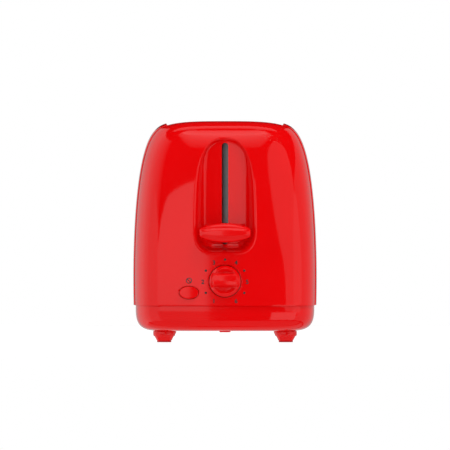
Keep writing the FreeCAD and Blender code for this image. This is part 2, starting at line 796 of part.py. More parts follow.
BUTTON_SEAT = "-body_length/2 + shell_wall + button_flange_gap"
button_parts = [
    oval("button_body", "0", "shell_wall + button_flange_gap + button_rise", BUTTON_SEAT),
    oval("button_skirt", "button_flange", "flange_thickness",
         BUTTON_SEAT + " + flange_thickness"),
    block("button_stem_bar",
          ("button_x - button_stem/2", BUTTON_SEAT + " + flange_thickness",
           "button_level - button_stem/2"),
          ("button_stem",
           "board_y - switch_height - button_travel - button_gap - (%s) - flange_thickness"
           % BUTTON_SEAT, "button_stem"))]
button_blank = fuse("button_blank", button_parts)
doc.recompute()
button_front = button_blank.Shape.BoundBox.YMin
node(rounded("button", button_blank, "button_flange",
             lambda edge: edge.BoundBox.YMax < button_front + 0.01), "cancel_button")
node(slab("switch", ("button_x", "board_y - switch_height/2", "button_level"),
          ("switch_size", "switch_height", "switch_size")), "cancel_switch")

# ---------------------------------------------------------------- crumb tray

TRAY_LOW = "base_bottom + shell_wall + tray_clearance"
tray_outside = block("tray_outside", ("-tray_width/2", "tray_front", TRAY_LOW),
                     ("tray_width", "tray_length", "tray_height"))
tray_inside = block("tray_inside",
                    ("-tray_width/2 + tray_wall", "tray_front + tray_wall",
                     TRAY_LOW + " + tray_wall"),
                    ("tray_width - 2*tray_wall", "tray_length - 2*tray_wall",
                     "tray_height"))
node(cut("tray", tray_outside, tray_inside), "crumb_tray")
grip_blank = block("grip_blank", ("-tray_width/2", "tray_front + tray_length", TRAY_LOW),
                   ("tray_width", "tray_grip_depth", "tray_grip_height"))
node(rounded("grip", grip_blank, "flange_thickness",
             lambda edge: abs(edge.tangentAt(edge.FirstParameter).z) > 0.9
             and edge.BoundBox.YMin > size("tray_front") + size("tray_length") + 1),
     "crumb_tray_grip")

# ---------------------------------------------------------------- cord gland

gland_parts = [
    spindle("gland_barrel", "gland_radius", "gland_reach + gland_depth",
            ("gland_x", "body_length/2 + gland_reach", "gland_level")),
    spindle("gland_rim", "gland_radius + gland_flange", "gland_flange",
            ("gland_x", "body_length/2 + gland_flange + gland_rim_gap", "gland_level"))]
gland_bore = spindle("gland_bore", "gland_bore", "body_length/4",
                     ("gland_x", "body_length/2 + 2*gland_reach", "gland_level"))
node(cut("gland", fuse("gland_blank", gland_parts), gland_bore), "cord_gland")

# ---------------------------------------------------------------- checks and export

doc.recompute()
for item in doc.Objects:
    faults = [state for state in item.State if state in ("Invalid", "Error")]
    if faults:
        raise RuntimeError("%s failed: %s" % (item.Label, faults))
for item in NODES:
    if item.Shape.isNull() or not item.Shape.isValid():
        raise RuntimeError("%s has no valid shape" % item.Label)
os.makedirs("parts", exist_ok=True)
for item in NODES:
    item.Shape.exportStep(os.path.join("parts", item.Label + ".step"))
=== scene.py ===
"""Two-slot pop up toaster: moulded shells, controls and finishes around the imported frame."""

import math
from contextlib import contextmanager

import bmesh
import bpy
import numpy as np
from bpy.props import FloatProperty, PointerProperty, StringProperty
from bpy.types import Operator, Panel, PropertyGroup
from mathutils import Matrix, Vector


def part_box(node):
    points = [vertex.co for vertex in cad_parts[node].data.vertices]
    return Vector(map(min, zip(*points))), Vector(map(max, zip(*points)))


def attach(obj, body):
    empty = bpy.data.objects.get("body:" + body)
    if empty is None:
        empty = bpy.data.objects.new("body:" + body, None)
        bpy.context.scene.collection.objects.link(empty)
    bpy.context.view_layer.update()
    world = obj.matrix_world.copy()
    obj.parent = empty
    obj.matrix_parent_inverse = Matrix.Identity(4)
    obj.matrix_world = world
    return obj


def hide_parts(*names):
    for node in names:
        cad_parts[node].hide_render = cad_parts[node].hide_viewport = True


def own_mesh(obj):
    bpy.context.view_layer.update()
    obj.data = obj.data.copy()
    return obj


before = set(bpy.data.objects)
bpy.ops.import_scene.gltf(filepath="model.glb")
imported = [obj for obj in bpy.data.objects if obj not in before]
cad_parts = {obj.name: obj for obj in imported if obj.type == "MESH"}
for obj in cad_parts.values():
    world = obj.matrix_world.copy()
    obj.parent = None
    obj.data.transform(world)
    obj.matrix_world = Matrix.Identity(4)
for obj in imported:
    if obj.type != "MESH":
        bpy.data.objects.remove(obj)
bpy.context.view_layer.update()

bl_info = {
    "name": "Pop up toaster",
    "version": (1, 0, 0),
    "blender": (4, 5, 0),
    "location": "View3D > Sidebar > Toaster",
    "description": "Builds the visible shells, controls and materials of a pop up toaster",
    "category": "Object",
}

MM = 0.001

# ------------------------------------------------------------------ sizes and colours


def length(name, description, default):
    """A length property in metres, given in millimetres."""
    return FloatProperty(name=name, description=description, default=default * MM,
                         unit="LENGTH", subtype="DISTANCE")


class ToasterForm(PropertyGroup):
    """Driving sizes of the moulded body."""

    half_width: length("Half width", "From the middle to the side shell at the waist", 79.3)
    half_length: length("Half length", "From the middle to an end cover at the waist", 123)
    crown: length("Crown", "Height of the superellipse's top above the worktop", 191)
    waist: length("Waist", "Height of the widest section", 55)
    base_floor: length("Base floor", "Underside of the base", 9.7)
    skirt: length("Skirt", "Lower edge of covers and side shells", 31.7)
    wall: length("Wall", "Thickness of the moulded walls", 2.5)
    cover_step: length("Cover step", "How far the end covers lie inside the side shells", 1)
    seam: length("Seam", "Where the side shells stop, from the middle", 80)
    shell_edge: length("Shell edge", "Where a side shell stops beside the top plate", 50.7)


class ToasterColours(PropertyGroup):
    """Colours as sRGB hex."""

    body: StringProperty(name="Body", description="Red of the mouldings", default="#E90306")
    body_deep: StringProperty(name="Body deep", description="Deeper red of the mouldings",
                              default="#E30204")
    ink: StringProperty(name="Ink", description="Printed numbers", default="#12403F")


def form():
    return bpy.context.scene.toaster_form


def colours():
    return bpy.context.scene.toaster_colours


def linear(code):
    """sRGB hex to linear RGBA."""
    values = [int(code[i:i + 2], 16) / 255 for i in (1, 3, 5)]
    return tuple(c / 12.92 if c <= 0.04045 else ((c + 0.055) / 1.055) ** 2.4
                 for c in values) + (1.0,)


# ------------------------------------------------------------------ mesh helpers

def mesh_object(name, vertices, faces):
    mesh = bpy.data.meshes.new(name)
    mesh.from_pydata(np.asarray(vertices).reshape(-1, 3).tolist(), [], faces)
    mesh.validate()
    piece = bpy.data.objects.new(name, mesh)
    bpy.context.scene.collection.objects.link(piece)
    mesh.shade_smooth()
    return piece


def grid_faces(rows, columns, wrap=False):
    """Quads of a rows by columns grid; wrap joins the last column to the first."""
    last = columns if wrap else columns - 1
    r, c = np.meshgrid(np.arange(rows - 1), np.arange(last), indexing="ij")
    n = (c + 1) % columns
    quads = np.stack([r * columns + c, r * columns + n,
                      (r + 1) * columns + n, (r + 1) * columns + c], axis=-1)
    return quads.reshape(-1, 4).tolist()


def surface(name, x, y, z, wrap=False):
    """Object from coordinate arrays of one grid; poles are merged and normals made to agree."""
    x, y, z = np.broadcast_arrays(x, y, z)
    rows, columns = x.shape
    piece = mesh_object(name, np.stack([x, y, z], axis=-1), grid_faces(rows, columns, wrap))
    tidy(piece)
    return piece


@contextmanager
def editing(piece):
    """The piece's mesh opened for editing, then written back and shaded smooth."""
    work = bmesh.new()
    work.from_mesh(piece.data)
    yield work
    work.to_mesh(piece.data)
    work.free()
    piece.data.shade_smooth()


def tidy(piece):
    """Merge doubled points, close the poles and turn the faces outwards."""
    tolerance = 1e-6
    with editing(piece) as work:
        bmesh.ops.remove_doubles(work, verts=work.verts, dist=tolerance)
        bmesh.ops.dissolve_degenerate(work, edges=work.edges, dist=tolerance)
        bmesh.ops.recalc_face_normals(work, faces=work.faces)


def close_rings(piece, below=math.inf):
    """Close every open ring that lies below a level with a face."""
    with editing(piece) as work:
        rim = [e for e in work.edges if e.is_boundary and all(v.co.z < below for v in e.verts)]
        bmesh.ops.holes_fill(work, edges=rim, sides=0)
        bmesh.ops.recalc_face_normals(work, faces=work.faces)


def numbers(items, key):
    """A three-number attribute of every mesh element, as rows."""
    values = np.empty(len(items) * 3)
    items.foreach_get(key, values)
    return values.reshape(-1, 3)


def facing(piece, direction):
    """Turn an open sheet so that its faces look along the direction on average."""
    if (numbers(piece.data.polygons, "normal") @ np.asarray(direction, dtype=float)).sum() < 0:
        piece.data.flip_normals()


def wall(piece, thickness, edge=0.0, steps=3, angle=50):
    """Give an outward-facing sheet its wall, inwards, and round the wall's edges."""
    solid = piece.modifiers.new("Wall", "SOLIDIFY")
    solid.thickness = thickness
    solid.offset = -1
    solid.use_even_offset = False
    if edge:
        round_edges(piece, edge, steps, angle)


def round_edges(piece, width, steps=3, angle=50):
    bevel = piece.modifiers.new("Edges", "BEVEL")
    bevel.width = width
    bevel.segments = steps
    bevel.limit_method = "ANGLE"
    bevel.angle_limit = math.radians(angle)
    bevel.use_clamp_overlap = True


def prism(name, u, v, low, high, upright=False):
    """Closed bar along Y over an outline in x and z, or along Z over one in x and y."""
    count = len(u)
    order = [0, 2, 1] if upright else [0, 1, 2]
    rings = [np.stack([u, np.full(count, end), v], axis=-1)[:, order] for end in (low, high)]
    sides = [[i, (i + 1) % count, count + (i + 1) % count, count + i] for i in range(count)]
    ends = [list(range(count))[::-1], list(range(count, 2 * count))]
    piece = mesh_object(name, np.concatenate(rings), sides + ends)
    tidy(piece)
    return piece


def hole_tool(name, outline, centre, near, far):
    """Bar along Y that cuts a hole: an outline about a centre, between two depths."""
    x, z = outline
    return prism(name, x + centre[0], z + centre[2], near, far)


def carve(piece, tools):
    """Cut the tools out of the piece and make the result its mesh."""
    for tool in tools:
        cutter = piece.modifiers.new("Cut", "BOOLEAN")
        cutter.operation = "DIFFERENCE"
        cutter.solver = "EXACT"
        cutter.object = tool
    bake(piece)
    for tool in tools:
        bpy.data.objects.remove(tool)


def bake(piece):
    """Replace the mesh by what its modifiers make of it."""
    depsgraph = bpy.context.evaluated_depsgraph_get()
    depsgraph.update()
    made = bpy.data.meshes.new_from_object(piece.evaluated_get(depsgraph))
    piece.modifiers.clear()
    piece.data = made


def join(name, pieces):
    """One object from several, all untransformed."""
    work = bmesh.new()
    for piece in pieces:
        work.from_mesh(piece.data)
        bpy.data.objects.remove(piece)
    mesh = bpy.data.meshes.new(name)
    work.to_mesh(mesh)
    work.free()
    mesh.shade_smooth()
    joined = bpy.data.objects.new(name, mesh)
    bpy.context.scene.collection.objects.link(joined)
    return joined


def rounded_rectangle(half_x, half_z, radius, steps=10):
    """Outline of a rectangle with quarter-circle corners, as two arrays."""
    corner = np.linspace(0, np.pi / 2, steps)
    signs = [(1, 1, 0), (-1, 1, 1), (-1, -1, 2), (1, -1, 3)]
    x = [sx * (half_x - radius) + radius * np.cos(corner + q * np.pi / 2) for sx, sz, q in signs]
    z = [sz * (half_z - radius) + radius * np.sin(corner + q * np.pi / 2) for sx, sz, q in signs]
    return np.concatenate(x), np.concatenate(z)


def oval(half_x, half_z, steps=96):
    angle = np.linspace(0, 2 * np.pi, steps, endpoint=False)
    return half_x * np.cos(angle), half_z * np.sin(angle)


def turned(name, radius, level, centre, steps=72):
    """Profile of radius against level carried round an upright axis."""
    angle = np.linspace(0, 2 * np.pi, steps, endpoint=False)[None, :]
    radius = np.asarray(radius)[:, None]
    x = centre[0] + radius * np.cos(angle)
    y = centre[1] + radius * np.sin(angle)
    z = np.asarray(level)[:, None] + 0 * angle
    return surface(name, x, y, z, wrap=True)


def measured(node):
    """Low corner, high corner and centre of a CAD piece's box."""
    low, high = (np.array(corner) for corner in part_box(node))
    return low, high, (low + high) / 2


def fitted(piece, body, nodes, material):
    """Attach a finished piece to its body, give it its finish and hide the CAD nodes it replaces.
    """
    piece.data.materials.clear()
    piece.data.materials.append(material)
    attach(piece, body)
    if nodes:
        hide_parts(*nodes)


# ------------------------------------------------------------------ body formula

TOP_POWER = 26
COVER_TURN = math.radians(58)
COVER_TILT = math.radians(87.3)


def plan_radius(turn, a, b):
    """Distance from the upright axis to the plan outline |x/a|^4 + |y/b|^8 = 1.

    With u the fourth power of the distance, the outline is A u + (B u)^2 = 1, a quadratic.
    """
    across = (np.sin(turn) / a) ** 4
    along = (np.cos(turn) / b) ** 4
    return (2 / (across + np.sqrt(across ** 2 + 4 * along ** 2))) ** 0.25


def body_point(turn, tilt, inset):
    """Point of the cover form: turn goes round from the lever end, tilt from waist to crown.

    The section's half width is the waist's times cos(tilt)^(1/4), its half length times
    cos(tilt)^(1/6), and its level rises with sin(tilt).
    """
    f = form()
    a = (f.half_width - f.cover_step - inset) * np.cos(tilt) ** 0.25
    b = (f.half_length - inset) * np.cos(tilt) ** (1 / 6)
    r = plan_radius(turn, a, b)
    x = r * np.sin(turn)
    z = f.waist + (f.crown - inset - f.waist) * np.sin(tilt) - crown_fall(x, tilt)
    return x, -r * np.cos(turn), z


def crown_fall(x, tilt):
    """How far the top droops towards the flanks, as the cube of x; it fades out below."""
    plateau = 50 * MM
    fall_middle = 0.5 * MM
    fall_flank = 1.9 * MM
    reach = np.clip(np.abs(x) / plateau, 0, 1)
    return (fall_middle + fall_flank * reach ** 3) * np.sin(np.maximum(tilt, 0)) ** TOP_POWER


def tilt_at(level):
    f = form()
    return np.arcsin(np.clip((level - f.waist) / (f.crown - f.waist), -1, 1))


def end_depth(x, z):
    """Distance of the cover form's end surface from the middle, over a point of the XZ plane."""
    f = form()
    tilt = tilt_at(z)
    a = (f.half_width - f.cover_step) * np.cos(tilt) ** 0.25
    b = f.half_length * np.cos(tilt) ** (1 / 6)
    return b * np.clip(1 - np.abs(x / a) ** 4, 0, 1) ** 0.125


def soft_ramp(w, half):
    """0 below 0, 1 above 1, straight between, with a parabolic bend of the given half width."""
    def bend(t):
        inside = (t + half) ** 2 / (4 * half)
        return np.where(t < -half, 0, np.where(t > half, t, inside))
    return bend(w) - bend(w - 1)


# ------------------------------------------------------------------ pieces

SCOOP_CENTRE = 108 * MM
SCOOP_TOP = 175.5 * MM
SCOOP_BOTTOM = 74.6 * MM
SCOOP_HALF = 26.6 * MM
SCOOP_POWER = 2.5
SCOOP_FOOT_POWER = 3.6
SCOOP_FLOOR = -106 * MM
FLOOR_SHARE = 0.69
FLOOR_HALF = 19.4 * MM
FLOOR_TOP = 172.5 * MM
FLOOR_BOTTOM = 82.2 * MM
BEND = 0.24

SLOT_HALF_X = 2.75 * MM
SLOT_HALF_Z = 43.5 * MM
SLOT_CORNER = 2.7 * MM
SLOT_LEVEL = 127.7 * MM
DIAL_RADIUS = 13.45 * MM
DIAL_GAP = 0.5 * MM
BUTTON_HALF_X = 8.25 * MM
BUTTON_HALF_Z = 5.45 * MM
BUTTON_GAP = 0.35 * MM
GLAND_RADIUS = 7 * MM
SEAM_GAP = 0.1 * MM
COVER_EDGE = {"width": 0.5 * MM, "steps": 2, "angle": 42}


def scoop_oval(angle):
    """Upright oval, flat sided, taller above its widest level than below."""
    share = np.where(np.sin(angle) > 0, 2 / SCOOP_POWER, 2 / SCOOP_FOOT_POWER)
    across = np.sign(np.cos(angle)) * np.abs(np.cos(angle)) ** share * SCOOP_HALF
    reach = np.where(np.sin(angle) > 0, SCOOP_TOP - SCOOP_CENTRE, SCOOP_CENTRE - SCOOP_BOTTOM)
    up = np.sign(np.sin(angle)) * np.abs(np.sin(angle)) ** share * reach
    return across, up


def scoop_floor(angle):
    """Edge of the floor: straight flanks, joining the oval above, and a squarish foot.

    Above, the oval's width w is held below the floor's half width h as w / (1 + (w/h)^8)^(1/8).
    Below it is the oval |x|^5 + |z|^5 = 1.
    """
    across, up = scoop_oval(angle)
    wide = 0.97 * across
    held = wide / (1 + np.abs(wide / FLOOR_HALF) ** 8) ** 0.125
    foot = np.sign(np.cos(angle)) * np.abs(np.cos(angle)) ** 0.4 * held.max()
    over = np.sin(angle) > 0
    x = np.where(over, held, foot)
    z = np.where(over, up * (FLOOR_TOP - SCOOP_CENTRE) / (SCOOP_TOP - SCOOP_CENTRE),
                 -np.abs(np.sin(angle)) ** 0.4 * (SCOOP_CENTRE - FLOOR_BOTTOM))
    return x, z


def even_angles(count):
    """Angles that space the oval's points evenly along its length."""
    dense = np.linspace(0, 2 * np.pi, 6001)
    x, z = scoop_oval(dense)
    run = np.concatenate([[0], np.cumsum(np.hypot(np.diff(x), np.diff(z)))])
    return np.interp(np.linspace(0, run[-1], count, endpoint=False), run, dense)


def front_sheet():
    """Outer surface of the front cover with its lever scoop.

    Rings run round the scoop.  Inside they are scaled copies of the floor's edge, and up the
    wall they go evenly from that edge to the scoop's oval.  Their depth goes from the floor to
    the body form by a soft ramp, which below the floor rises fast and then eases.  The floor is
    hollowed across X, by a square and a sixth power.
    Outside they spread, in turn and tilt, from the oval to a rectangle that reaches past the
    seam and below the crown.
    """
    f = form()
    count = 288
    angle = even_angles(count)[None, :]
    floor = FLOOR_SHARE
    last = 1 + BEND * (1 - floor)
    scale = np.concatenate([np.linspace(0.02, floor * 0.85, 6),
                            np.linspace(floor * 0.87, last, 44)])[:, None]
    across, up = scoop_oval(angle)
    floor_x, floor_z = scoop_floor(angle)
    climb = np.maximum((scale - floor) / (1 - floor), 0)
    inner = np.minimum(scale / floor, 1)
    x = floor_x * inner + (across - floor_x) * climb
    z = SCOOP_CENTRE + floor_z * inner + (up - floor_z) * climb
    outer = -end_depth(x, z)
    ramp = soft_ramp(climb - (scale < floor) * (floor - scale) / (1 - floor), BEND)
    ramp = 1 - (1 - ramp) ** (1 + 1.8 * np.maximum(-np.sin(angle), 0) ** 2)
    hollow = 0.7 * MM * (x / FLOOR_HALF) ** 2 + 1.8 * MM * (x / FLOOR_HALF) ** 6
    least_depth = 0.8 * MM
    floor_y = np.maximum(SCOOP_FLOOR - hollow, outer + least_depth)
    y = floor_y + (outer - floor_y) * ramp
    turn_lip = np.arctan2(x[-1], -outer[-1])
    tilt_lip = tilt_at(z[-1])
    low = float(tilt_at(np.array(f.skirt)))
    middle = (low + math.radians(60)) / 2
    corner_turn, corner_tilt = rectangle_ring(turn_lip, tilt_lip - middle, COVER_TURN,
                                              low - middle, COVER_TILT - middle)
    corner_tilt = corner_tilt + middle
    share = (np.linspace(0, 1, 72)[1:, None]) ** 1.15
    turn = turn_lip * (1 - share) + corner_turn * share
    tilt = tilt_lip * (1 - share) + corner_tilt * share
    bx, by, bz = body_point(turn, tilt, 0)
    return surface("front_cover_moulding", np.concatenate([x, bx]), np.concatenate([y, by]),
                   np.concatenate([z, bz]), wrap=True)


def rectangle_ring(x, z, wide, low, high):
    """Where rays from the middle through the given points meet a rectangle."""
    reach_x = wide / np.maximum(np.abs(x), 1e-9)
    reach_z = np.where(z > 0, high, -low) / np.maximum(np.abs(z), 1e-9)
    reach = np.minimum(reach_x, reach_z)
    return x * reach, z * reach


def trim(piece, y, keep_sign):
    """Slice a sheet at a plane across the body and keep the end part."""
    with editing(piece) as work:
        geometry = work.verts[:] + work.edges[:] + work.faces[:]
        bmesh.ops.bisect_plane(work, geom=geometry, dist=1e-7, plane_co=(0, y, 0),
                               plane_no=(0, -keep_sign, 0), clear_outer=True)


def front_cover(material):
    f = form()
    piece = front_sheet()
    trim(piece, -f.seam - SEAM_GAP, -1)
    facing(piece, (0, -1, 0))
    wall(piece, f.wall)
    bake(piece)
    near, far = -140 * MM, -110 * MM
    slot = hole_tool("slot_tool", rounded_rectangle(SLOT_HALF_X, SLOT_HALF_Z, SLOT_CORNER, 16),
                     (0, 0, SLOT_LEVEL), -125 * MM, -95 * MM)
    dial_hole = hole_tool("dial_tool", oval(DIAL_RADIUS + DIAL_GAP, DIAL_RADIUS + DIAL_GAP),
                          measured("browning_dial")[2], near, far)
    button_hole = hole_tool("button_tool",
                            oval(BUTTON_HALF_X + BUTTON_GAP, BUTTON_HALF_Z + BUTTON_GAP),
                            measured("cancel_button")[2], near, far)
    carve(piece, [slot, dial_hole, button_hole])
    round_edges(piece, **COVER_EDGE)
    piece.data.shade_smooth()
    fitted(piece, "housing", ["front_cover"], material)


def rear_cover(material):
    f = form()
    turn = np.linspace(-COVER_TURN, COVER_TURN, 140)[None, :] + math.pi
    low = float(tilt_at(np.array(f.skirt)))
    tilt = np.linspace(low, COVER_TILT, 110)[:, None]
    piece = surface("rear_cover_moulding", *body_point(turn, tilt, 0))
    trim(piece, f.seam + SEAM_GAP, 1)
    facing(piece, (0, 1, 0))
    wall(piece, f.wall)
    bake(piece)
    carve(piece, [hole_tool("gland_tool", oval(GLAND_RADIUS, GLAND_RADIUS),
                            measured("cord_gland")[2], 110 * MM, 140 * MM)])
    round_edges(piece, **COVER_EDGE)
    piece.data.shade_smooth()
    fitted(piece, "housing", ["rear_cover"], material)


def side_shell(side, label, material):
    """Band along Y whose section is the body form's flank, from skirt to top plate.

    Towards both seams the section shrinks by the seventh power of y, down to the end covers.
    """
    f = form()
    low = float(tilt_at(np.array(f.skirt)))
    high = math.acos((f.shell_edge / f.half_width) ** 4)
    tilt = np.linspace(low, high, 90)[:, None]
    y = np.linspace(-f.seam, f.seam, 24)[None, :]
    shrink = 0.0125
    top_fall = 0.6 * MM
    draw_in = 1 - shrink * np.abs(y / f.seam) ** 7
    x = side * f.half_width * np.cos(tilt) ** 0.25 * draw_in
    rise = (f.crown - f.waist) * np.sin(tilt) - top_fall * np.sin(tilt) ** TOP_POWER
    z = f.waist + rise * draw_in
    piece = surface("side_moulding_" + label, x, y, z)
    facing(piece, (side, 0, 0.2))
    wall(piece, f.wall, 0.35 * MM, 3)
    fitted(piece, "housing", ["side_shell_" + label], material)


def base_moulding(material):
    """Skirt and floor: plan outlines of the body form, drawn in below by an easy round.

    Over the skirt's height h the section draws in by h (1 - (1 - s^3.3)^(1/3.3)); s goes
    from 0 at the top to 1 at the bottom.  A small tab stands under the front edge.
    """
    f = form()
    low, high, _ = measured("base")
    inset = 2.2 * MM
    power = 3.3
    rim = 1 * MM
    half_x = f.half_width - inset
    half_y = f.half_length - inset
    tall = high[2] - f.base_floor
    s = np.sin(np.linspace(math.pi / 2, 0, 26))
    draw_in = np.concatenate([[half_x - rim, half_x / 2],
                              tall * (1 - (1 - s ** power) ** (1 / power))])[:, None]
    level = np.concatenate([[f.base_floor, f.base_floor], high[2] - tall * s])[:, None]
    turn = np.linspace(0, 2 * math.pi, 240, endpoint=False)[None, :]
    r = plan_radius(turn, half_x - draw_in, np.maximum(half_y - draw_in, rim))
    piece = surface("base_moulding", r * np.sin(turn), -r * np.cos(turn), level, wrap=True)
    close_rings(piece, f.base_floor + 1e-5)
    facing(piece, (0, 0, -1))
    wall(piece, f.wall)
    bake(piece)
    grip_low, grip_high, grip = measured("crumb_tray_grip")
    gap = 0.4 * MM
    half = (grip_high - grip_low) / 2 + gap
    carve(piece, [hole_tool("mouth_tool", rounded_rectangle(half[0], half[2], 1.5 * MM),
                            (0, 0, grip[2]), 100 * MM, 140 * MM)])
    tab_top = f.base_floor + f.wall
    tab_half = (tab_top - low[2]) / 2
    tab = hole_tool("tab", rounded_rectangle(4.7 * MM, tab_half, 0.4 * MM, 4),
                    (0, 0, low[2] + tab_half), -104 * MM, -96 * MM)
    piece = join("base_moulding", [piece, tab])
    round_edges(piece, 0.4 * MM, 2, 50)
    fitted(piece, "housing", ["base"], material)


def top_plate(material):
    """Flat moulded plate with two round-cornered bread slots and softened lips."""
    low, high, _ = measured("top_plate")
    half = (high - low) / 2
    slot_spacing = 50 * MM
    over = 5 * MM
    outline = rounded_rectangle(half[0], half[1], 0.5 * MM, 3)
    piece = prism("top_moulding", *outline, low[2], high[2], upright=True)
    slot_x, slot_y = rounded_rectangle(15.5 * MM, 69 * MM, 4 * MM)
    carve(piece, [prism("slot_tool", slot_x + side * slot_spacing / 2, slot_y, low[2] - over,
                        high[2] + over, upright=True) for side in (-1, 1)])
    round_edges(piece, 1.0 * MM, 4, 40)
    piece.data.shade_smooth()
    fitted(piece, "housing", ["top_plate"], material)


def foot(tag, material, pad_material):
    """Turned foot: straight below the base, then drawn in to the pad."""
    low, high, centre = measured("foot_" + tag)
    pad_low, pad_high, _ = measured("foot_pad_" + tag)
    wide = (high[0] - low[0]) / 2
    tip = (pad_high[0] - pad_low[0]) / 2
    core = 0.2 * MM
    lip = 1.2 * MM
    shoulder = low[2] + 4 * MM
    corner = np.linspace(0, math.pi / 2, 7)
    radius = np.concatenate([[core, tip], wide - lip * (1 - np.sin(corner)), [wide, wide, core]])
    level = np.concatenate([[low[2], low[2]], shoulder + 1.6 * MM * (1 - np.cos(corner)),
                            [shoulder + 2.8 * MM, high[2], high[2]]])
    piece = turned("foot_moulding_" + tag, radius, level, centre)
    close_rings(piece)
    edge = 0.35 * MM
    round_edges(piece, edge, 2, 28)
    fitted(piece, "housing", ["foot_" + tag], material)
    radius = np.concatenate([[core], tip - edge * (1 - np.sin(corner)), [tip, core]])
    level = np.concatenate([[pad_low[2]], pad_low[2] + edge * (1 - np.cos(corner)),
                            [pad_high[2], pad_high[2]]])
    pad = turned("foot_pad_" + tag + "_moulding", radius, level, centre)
    close_rings(pad)
    fitted(pad, "housing", ["foot_pad_" + tag], pad_material)


def lever(material):
    """Lens-shaped push bar.

    Across X the half height falls from the middle to the ends as a parabola, and the sections
    close in a tight round at both ends.  Each section is the oval |y|^3.6 + |z|^2.8 = 1.  A
    lens-shaped pad, with a short soft flank all round, stands out of the front.
    """
    low, high, centre = measured("lever_knob")
    across = np.sin(np.linspace(-math.pi / 2, math.pi / 2, 150))[:, None]
    turn = np.linspace(0, 2 * math.pi, 200, endpoint=False)[None, :]
    close = (1 - np.abs(across) ** 36) ** 0.5
    half_height, end_fall = 8.4 * MM, 4.7 * MM
    tall = (half_height - end_fall * across ** 2) * close
    pad_rise = 1.3 * MM
    half_depth = (high[1] - low[1] - pad_rise) / 2
    end_thinning = 1.2 * MM
    deep = half_depth - end_thinning * across ** 2
    cos, sin = np.cos(turn), np.sin(turn)
    side_y = np.sign(cos) * np.abs(cos) ** (2 / 3.6)
    side_z = np.sign(sin) * np.abs(sin) ** (2 / 2.8)
    drop = side_z * tall
    pad_height, pad_fall, pad_drop, pad_flank = 3.4 * MM, 1.6 * MM, 0.3 * MM, 1.5 * MM
    pad_half = pad_height - pad_fall * across ** 2
    inside = (pad_half - np.abs(drop + pad_drop)) / pad_flank + 0.5
    ends = (0.9 - np.abs(across)) / 0.12 + 0.5
    pad = soft_ramp(inside, 0.35) * soft_ramp(ends, 0.35) * (cos < 0)
    y = high[1] - half_depth + side_y * deep * close - pad_rise * pad
    half_x = (high[0] - low[0]) / 2
    piece = surface("lever_moulding", half_x * across, y, centre[2] + drop, wrap=True)
    close_rings(piece)
    fitted(piece, "carriage", ["lever_knob"], material)


def dial(material):
    """Round knob drawn as heights over a disc, in polar rings.

    A bevelled rim, a shallow dish inside it, and a bar straight across whose flanks fall by a
    soft ramp.  The bar's upper half arches across X and its lower half is hollowed as much.
    """
    low, high, centre = measured("browning_dial")
    back = -121.5 * MM
    rim_depth, dish_depth, bar_rise, twist_depth = 2.6 * MM, 2.4 * MM, 1.7 * MM, 0.8 * MM
    face = low[1] + 6.8 * MM
    rho = np.concatenate([np.linspace(0.004, 0.74, 34), np.linspace(0.76, 1.0, 18)])[:, None]
    turn = np.linspace(0, 2 * math.pi, 180, endpoint=False)[None, :]
    u = rho * np.cos(turn)
    w = rho * np.sin(turn)
    rim = soft_ramp((1.0 - rho) / 0.17, 0.12)
    dish = soft_ramp((0.84 - rho) / 0.22, 0.3)
    bar = (soft_ramp((0.44 - np.abs(w - 0.07)) / 0.11, 0.4)
           * soft_ramp((0.86 - np.abs(u)) / 0.1, 0.4))
    twist = 1 - 2 * soft_ramp((0.06 - w) / 0.08, 0.3)
    height = (rim_depth * rim - dish_depth * dish * (1 - bar) + bar_rise * bar
              - twist_depth * bar * twist * u ** 2)
    y = face - height
    skirt = np.linspace(0, 1, 6)[1:, None]
    y = np.concatenate([y, y[-1] + (back - y[-1]) * skirt])
    u = np.concatenate([u, np.repeat(u[-1:], 5, axis=0)])
    w = np.concatenate([w, np.repeat(w[-1:], 5, axis=0)])
    knob = surface("dial_moulding", DIAL_RADIUS * u, y, centre[2] + DIAL_RADIUS * w, wrap=True)
    close_rings(knob)
    fitted(knob, "dial", ["browning_dial"], material)


def cancel_button(material):
    """Oval cap, nearly flat, with a rounded edge."""
    low, high, centre = measured("cancel_button")
    back = -119 * MM
    dome, edge = 0.06 * MM, 0.6 * MM
    rho = np.concatenate([np.linspace(0.004, 0.9, 16), np.linspace(0.92, 1, 8)])[:, None]
    turn = np.linspace(0, 2 * math.pi, 120, endpoint=False)[None, :]
    rise = dome * (1 - rho ** 2) + edge * np.sqrt(np.clip(1 - rho ** 24, 0, 1))
    x = centre[0] + BUTTON_HALF_X * rho * np.cos(turn)
    z = centre[2] + BUTTON_HALF_Z * rho * np.sin(turn)
    y = low[1] + dome + edge - rise + 0 * turn
    x = np.concatenate([x, x[-1:]])
    z = np.concatenate([z, z[-1:]])
    y = np.concatenate([y, np.full_like(y[-1:], back)])
    piece = surface("cancel_moulding", x, y, z, wrap=True)
    close_rings(piece)
    fitted(piece, "cancel", ["cancel_button"], material)


# ------------------------------------------------------------------ printed scale

def on_cover(points, lift):
    """Lay flat artwork, given as x and z, on the front cover's surface."""
    x, z = points[:, 0], points[:, 1]
    return np.stack([x, -end_depth(x, z) - lift, z], axis=-1)


